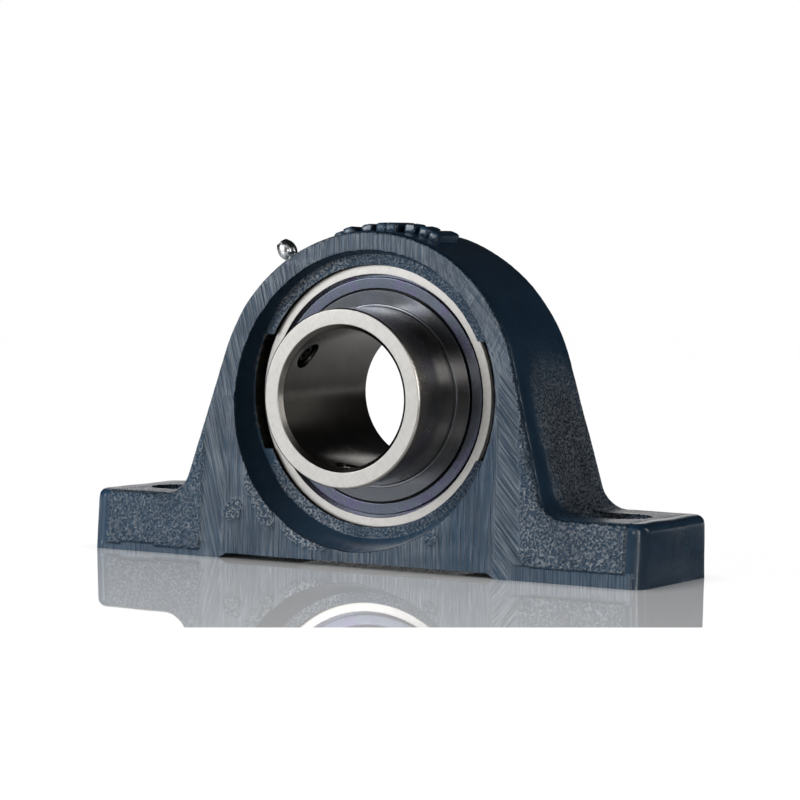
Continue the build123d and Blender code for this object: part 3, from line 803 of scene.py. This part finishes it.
class BEARING_OT_seals(bpy.types.Operator):
    """Pressed seal shells and flingers on both sides of the insert"""
    bl_idname = "bearing.seals"
    bl_label = "Seals and Flingers"

    def execute(self, context):
        sizes = context.scene.steel_sizes
        colours = context.scene.finish_colours
        shell_steel = sheet_steel("seal_steel", colours.seal, SEAL_VIOLET, 0.26)
        flinger_steel = sheet_steel("flinger_steel", colours.flinger, FLINGER_VIOLET, 0.17)
        for side_name, side in (("front", -1), ("back", 1)):
            lay_on(self.shell(side_name, side, sizes), shell_steel, "seal_steel", "outer_ring",
                   f"{side_name}_seal_shell")
            lay_on(self.flinger(side_name, side, sizes), flinger_steel, "flinger_steel", "inner_ring",
                   f"{side_name}_flinger")
        return {"FINISHED"}

    def shell(self, side_name, side, sizes):
        wall = SHELL_RADIUS - SHELL_WALL_GAP
        window = wall - SHELL_WIDTH
        bend = 0.4 * MM
        inner_wall = wall - SEAL_SHEET
        outline = [(SHELL_BACK, SHELL_RADIUS), (SHELL_BACK + SEAL_SHEET, SHELL_RADIUS),
                   (SHELL_BACK + SEAL_SHEET, wall)]
        outline += arc((SHELL_FACE - bend, wall - bend), bend, 90, 0, 5)
        outline += arc((SHELL_FACE - bend, window + bend), bend, 0, -90, 5)
        outline += [(SHELL_FACE - SEAL_SHEET, window), (SHELL_FACE - SEAL_SHEET, inner_wall),
                    (SHELL_BACK, inner_wall)]
        shell = turned(f"{side_name}_seal_pressing", closed(outline), sizes.steps, CENTRE, SHAFT_LINE * side)
        ease_edges(shell, 0.08 * MM, 2)
        return shell

    def flinger(self, side_name, side, sizes):
        """A dished disc with a rolled rim, and a small collar where it grips the inner ring."""
        bend = 0.55 * MM
        collar = INNER_RADIUS + 0.85 * MM
        dish = 0.22 * MM
        outline = [(FLINGER_BACK, INNER_RADIUS + 0.01 * MM)]
        outline += arc((FLINGER_FACE - 0.2 * MM, INNER_RADIUS + 0.21 * MM), 0.2 * MM, -90, 0, 3)
        outline += arc((FLINGER_FACE - 0.2 * MM, collar - 0.2 * MM), 0.2 * MM, 0, 90, 3)
        outline += [(FLINGER_FACE - dish, collar + 0.05 * MM), (FLINGER_FACE - dish, FLINGER_RADIUS - 2.2 * bend)]
        outline += arc((FLINGER_FACE - bend, FLINGER_RADIUS - bend), bend, 45, 90, 4)
        inside = FLINGER_FACE - dish - FLINGER_SHEET / 2
        rim, grip = FLINGER_RADIUS - FLINGER_SHEET, INNER_RADIUS + FLINGER_SHEET
        outline += [(FLINGER_BACK, FLINGER_RADIUS), (FLINGER_BACK, rim), (inside, rim), (inside, grip),
                    (FLINGER_BACK, grip)]
        disc = turned(f"{side_name}_flinger_pressing", closed(outline), sizes.steps, CENTRE, SHAFT_LINE * side)
        ease_edges(disc, 0.06 * MM, 2)
        return disc


class BEARING_OT_set_screws(bpy.types.Operator):
    """Cup point set screws with a hexagon socket"""
    bl_idname = "bearing.set_screws"
    bl_label = "Set Screws"

    def execute(self, context):
        # Black oxide steel, painted darker still as painted shade in the screw holes
        steel = plain_steel("screw_steel", SCREW_OXIDE_AND_SHADE_TINT, 0.45)
        for number, angle in enumerate(SCREW_ANGLES, start=1):
            lay_on(self.screw(number, angle), steel, "screw_steel", f"set_screw_{number}", f"set_screw_{number}")
        return {"FINISHED"}

    def screw(self, number, angle):
        foot = SCREW_TOP - SCREW_LENGTH
        root = SCREW_RADIUS - 0.45 * MM
        outline = [(foot + CUP_DEPTH, 0), (foot + CUP_DEPTH, CUP_RADIUS - CUP_DEPTH), (foot, CUP_RADIUS),
                   (foot, CUP_RADIUS + 0.5 * MM)]
        outline += thread(foot + 0.7 * MM, SCREW_TOP - 0.4 * MM, root, SCREW_RADIUS, SCREW_PITCH)
        outline += [(SCREW_TOP, root - 0.35 * MM), (SCREW_TOP, 0)]
        line = (SCREW_ORIGIN, radial(angle), SHAFT_LINE)
        screw = turned(f"set_screw_{number}_threaded", outline, 64, *line)
        socket = hexagon("socket", SOCKET_WIDTH, SCREW_TOP - SOCKET_DEPTH, SCREW_TOP + MM, *line)
        cut_away(screw, socket)
        ease_edges(screw, 0.05 * MM, 2)
        return screw


class BEARING_OT_grease_nipple(bpy.types.Operator):
    """Grease nipple with its hexagon, neck and ball head"""
    bl_idname = "bearing.grease_nipple"
    bl_label = "Grease Nipple"

    def execute(self, context):
        axis = radial(NIPPLE_ANGLE)
        across = SHAFT_LINE
        middle = (NIPPLE_HEAD + NIPPLE_TIP) / 2
        half = (NIPPLE_TIP - NIPPLE_HEAD) / 2
        outline = [(NIPPLE_FOOT, NIPPLE_INLET_RADIUS)]
        outline += thread(NIPPLE_FOOT, NIPPLE_FACE, NIPPLE_THREAD_RADIUS - 0.4 * MM, NIPPLE_THREAD_RADIUS, MM)
        outline += [(NIPPLE_HEX_TOP, NIPPLE_SHOULDER_RADIUS),
                    (NIPPLE_HEX_TOP + 0.5 * MM, NIPPLE_SHOULDER_RADIUS - 0.1 * MM),
                    (NIPPLE_HEAD - 0.3 * MM, NIPPLE_NECK_RADIUS)]
        # The head swells from the neck to its widest and rounds off to the flat tip
        for step in range(13):
            turn = math.radians(-NIPPLE_HEAD_SWEEP + 2 * NIPPLE_HEAD_SWEEP * step / 12)
            along = middle + half * math.sin(turn) / math.sin(math.radians(NIPPLE_HEAD_SWEEP))
            outline.append((along, NIPPLE_HEAD_RADIUS * math.cos(turn)))
        outline[-1] = (NIPPLE_TIP, NIPPLE_TIP_RADIUS + 0.25 * MM)
        outline += [(NIPPLE_TIP, NIPPLE_MOUTH_RADIUS), (NIPPLE_TIP - NIPPLE_MOUTH_DEPTH, NIPPLE_PASSAGE_RADIUS),
                    (NIPPLE_INLET_END, NIPPLE_PASSAGE_RADIUS), (NIPPLE_INLET_END, NIPPLE_INLET_RADIUS),
                    (NIPPLE_FOOT, NIPPLE_INLET_RADIUS)]
        nipple = turned("grease_nipple_plated", outline, 96, CENTRE, axis, across)
        bar = hexagon("nipple_hexagon", NIPPLE_HEX_WIDTH, NIPPLE_FACE, NIPPLE_HEX_TOP, CENTRE, axis, across)
        # Turned corners of the hexagon, above and below
        corner = NIPPLE_HEX_WIDTH / math.sqrt(3)
        slope = 0.55 * (corner - NIPPLE_HEX_WIDTH / 2)
        blank = turned("hexagon_blank", [(NIPPLE_FACE, 0), (NIPPLE_FACE, corner - slope * 0.6),
                                         (NIPPLE_FACE + slope * 0.5, corner), (NIPPLE_HEX_TOP - slope, corner),
                                         (NIPPLE_HEX_TOP, NIPPLE_HEX_WIDTH / 2 - 0.15 * MM), (NIPPLE_HEX_TOP, 0)],
                       64, CENTRE, axis, across)
        cut_away(bar, blank, "INTERSECT")
        bore = turned("nipple_bore", [(NIPPLE_FACE - MM, 0), (NIPPLE_FACE - MM, 2 * MM), (NIPPLE_HEX_TOP + MM, 2 * MM),
                                      (NIPPLE_HEX_TOP + MM, 0)], 48, CENTRE, axis, across)
        cut_away(bar, bore)
        cut_away(nipple, bar, "UNION")
        ease_edges(nipple, 0.12 * MM)
        lay_on(nipple, plain_steel("plated_steel", PLATED_TINT, 0.24), "plated_steel", "housing", "grease_nipple")
        return {"FINISHED"}


class BEARING_OT_inner_parts(bpy.types.Operator):
    """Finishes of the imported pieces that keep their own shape"""
    bl_idname = "bearing.inner_parts"
    bl_label = "Balls, Cage, Lips and Valve"

    def execute(self, context):
        ball_steel = plain_steel("ball_steel", BALL_TINT, 0.09, 4 * MM)
        cage_steel = plain_steel("cage_steel", CAGE_TINT, 0.34)
        spring_steel = plain_steel("spring_steel", SPRING_TINT, 0.3, 0.4 * MM)
        rubber = seal_rubber()
        finishes = {"ball_": ball_steel, "cage_": cage_steel, "nipple_ball": ball_steel}
        for name in frame["nodes"]:
            for start, material in finishes.items():
                if name.startswith(start):
                    keep_node(name, material)
            if name.endswith("_seal_lip"):
                keep_node(name, rubber)
        self.spring(spring_steel)
        return {"FINISHED"}

    def spring(self, material):
        """The check ball's spring, copied from the imported piece and smooth shaded."""
        spring = copy_of_node("nipple_spring", "nipple_spring_coil")
        shade(spring)
        lay_on(spring, material, "spring_steel", "housing", "nipple_spring")
        axis = radial(NIPPLE_ANGLE)
        along = (vertex_values(spring.data, "co") - np.array(CENTRE)) @ np.array(axis)
        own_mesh(spring)


def direction(azimuth, elevation):
    """Unit vector from the object, azimuth counted from the front towards +X."""
    turn, rise = math.radians(azimuth), math.radians(elevation)
    return Vector((math.sin(turn) * math.cos(rise), -math.cos(turn) * math.cos(rise), math.sin(rise)))


def facing(origin, target, roll=0.0):
    """Matrix of a camera or lamp at origin that looks at target, rolled in degrees."""
    back = (origin - target).normalized()
    right = UP.cross(back).normalized()
    up = back.cross(right)
    turn = math.radians(roll)
    right, up = right * math.cos(turn) + up * math.sin(turn), up * math.cos(turn) - right * math.sin(turn)
    matrix = Matrix((right, up, back)).transposed().to_4x4()
    matrix.translation = origin
    return matrix


class BEARING_OT_stage(bpy.types.Operator):
    """Camera, floor, lamps and dark cloths"""
    bl_idname = "bearing.stage"
    bl_label = "Studio Stage"

    def execute(self, context):
        context.scene.view_settings.view_transform = "Standard"
        self.camera(context)
        self.world(context)
        self.floor()
        for name, (azimuth, elevation, distance, width, height, power, missed_by) in LAMPS.items():
            lamp = self.softbox(name, direction(azimuth, elevation), distance, width, height, power)
            lamp.visible_glossy = missed_by != "glossy"
            lamp.visible_diffuse = missed_by != "diffuse"
        for name, placing in CLOTHS.items():
            self.cloth(name, *placing)
        for name, placing in CARDS.items():
            self.card(name, *placing)
        return {"FINISHED"}

    def camera(self, context):
        data = bpy.data.cameras.new("photo_camera")
        data.lens = CAMERA_FOCAL_PIXELS / FRAME_PIXELS * SENSOR_WIDTH
        data.sensor_width = SENSOR_WIDTH
        camera = bpy.data.objects.new("photo_camera", data)
        context.scene.collection.objects.link(camera)
        place = CAMERA_TARGET + direction(CAMERA_AZIMUTH, CAMERA_ELEVATION) * CAMERA_DISTANCE
        camera.matrix_world = facing(place, CAMERA_TARGET, CAMERA_ROLL)
        context.scene.camera = camera

    def backdrop_rays(self, wire):
        """1 for rays that should meet the white backdrop: seen, mirrored or passing through glass."""
        rays = [wire.node("ShaderNodeLightPath", {}, {}, output)
                for output in ("Is Camera Ray", "Is Glossy Ray", "Is Transmission Ray")]
        return rays[0].most(rays[1]).most(rays[2])

    def world(self, context):
        world = bpy.data.worlds.new("white_studio")
        world.use_nodes = True
        background = world.node_tree.nodes["Background"]
        start = Wire(world.node_tree, background.outputs[0])
        strength = self.backdrop_rays(start) * (1 - DIFFUSE_FILL) + DIFFUSE_FILL
        background.inputs["Color"].default_value = (1, 1, 1, 1)
        world.node_tree.links.new(strength.socket, background.inputs["Strength"])
        context.scene.world = world

    def floor(self):
        """A polished pale sheet that mirrors the block more the flatter it is seen."""
        floor = self.plane("pale_floor", (0, 0, -0.02 * MM), (FLOOR_WIDTH, FLOOR_WIDTH), 0, 0)
        start = self.bare_place(floor)
        seen = start.node("ShaderNodeLightPath", {}, {}, "Is Camera Ray")
        glow = (self.backdrop_rays(start) * (FLOOR_MIRRORED - FLOOR_FILL) + seen * (FLOOR_GLOW - FLOOR_MIRRORED)
                + FLOOR_FILL)
        glow = glow * start.node("ShaderNodeAmbientOcclusion", {}, {"Distance": CONTACT_SHADOW}, 1)
        white = start.node("ShaderNodeEmission", {}, {"Strength": glow})
        matt = start.node("ShaderNodeBsdfDiffuse", {}, {"Color": (0.3, 0.3, 0.3, 1)})
        pale = start.node("ShaderNodeAddShader", {}, {0: white, 1: matt})
        gloss = start.node("ShaderNodeBsdfGlossy", {}, {"Color": (1, 1, 1, 1), "Roughness": SHEET_ROUGHNESS})
        share = start.node("ShaderNodeFresnel", {}, {"IOR": 1.5}) * SHEET_GLOSS
        # The polished sheet ends in front of the block
        towards_camera = start.node("ShaderNodeVectorMath", {"operation": "DOT_PRODUCT"},
                                    {0: start, 1: direction(SHEET_EDGE_AZIMUTH, 0)}, 1)
        share = share.math("MINIMUM", share, SHEET_GLOSS_LIMIT)
        share = share * towards_camera.math("LESS_THAN", towards_camera, SHEET_EDGE / FLOOR_WIDTH)
        start.node("ShaderNodeMixShader", {}, {0: share, 1: pale, 2: gloss}).cover()

    def softbox(self, name, towards, distance, width, height, power):
        data = bpy.data.lights.new(name, "AREA")
        data.shape = "RECTANGLE"
        data.size, data.size_y, data.energy = width, height, power
        lamp = bpy.data.objects.new(name, data)
        bpy.context.scene.collection.objects.link(lamp)
        lamp.matrix_world = facing(CENTRE + towards * distance, CENTRE)
        return lamp

    def plane(self, name, middle, size, turn, tilt=90):
        bpy.ops.object.select_all(action="DESELECT")
        bpy.ops.mesh.primitive_plane_add(size=1, location=middle,
                                         rotation=(math.radians(tilt), 0, math.radians(turn)))
        plane = bpy.context.object
        plane.name = name
        plane.scale = (*size, 1)
        return plane

    def bare_place(self, plane):
        """Give the plane a material without its usual shader, and return the place on it as a wire."""
        material = bpy.data.materials.new(plane.name)
        material.use_nodes = True
        plane.data.materials.append(material)
        tree = material.node_tree
        tree.nodes.remove(tree.nodes["Principled BSDF"])
        return Wire(tree, tree.nodes.new("ShaderNodeTexCoord").outputs["Object"])

    def cloth(self, name, middle, size, turn, tilt):
        """A dark cloth that the camera doesn't see, for steel and gloss to mirror."""
        cloth = self.plane(name, middle, size, turn, tilt)
        self.bare_place(cloth).node("ShaderNodeBsdfDiffuse", {}, {"Color": colour(CLOTH_TINT)}).cover()
        cloth.visible_camera = False

    def card(self, name, middle, size, turn, tint, strength):
        """A dim card that the camera doesn't see, for steel and gloss to mirror."""
        card = self.plane(name, middle, size, turn)
        glow = {"Color": colour(tint), "Strength": strength}
        self.bare_place(card).node("ShaderNodeEmission", {}, glow).cover()
        card.visible_camera = card.visible_diffuse = False


class BEARING_PT_panel(bpy.types.Panel):
    bl_label = "Pillow Block Bearing"
    bl_idname = "BEARING_PT_panel"
    bl_space_type = "VIEW_3D"
    bl_region_type = "UI"
    bl_category = "Bearing"

    def draw(self, context):
        for group in ("casting_sizes", "steel_sizes", "finish_colours"):
            box = self.layout.box()
            settings = getattr(context.scene, group)
            for name in settings.__annotations__:
                box.prop(settings, name)
        for operator in OPERATORS:
            self.layout.operator(operator.bl_idname)


OPERATORS = (BEARING_OT_stage, BEARING_OT_housing, BEARING_OT_rings, BEARING_OT_seals, BEARING_OT_set_screws,
             BEARING_OT_grease_nipple, BEARING_OT_inner_parts)
SETTINGS = {"casting_sizes": CastingSizes, "steel_sizes": SteelSizes, "finish_colours": FinishColours}
CLASSES = (*SETTINGS.values(), *OPERATORS, BEARING_PT_panel)


def register():
    for cls in CLASSES:
        bpy.utils.register_class(cls)
    for name, group in SETTINGS.items():
        setattr(bpy.types.Scene, name, bpy.props.PointerProperty(type=group))


def unregister():
    for name in SETTINGS:
        delattr(bpy.types.Scene, name)
    for cls in reversed(CLASSES):
        bpy.utils.unregister_class(cls)


def main():
    register()
    bpy.ops.bearing.stage()
    bpy.ops.bearing.housing()
    bpy.ops.bearing.rings()
    bpy.ops.bearing.seals()
    bpy.ops.bearing.set_screws()
    bpy.ops.bearing.grease_nipple()
    bpy.ops.bearing.inner_parts()


if __name__ == "__main__":
    main()
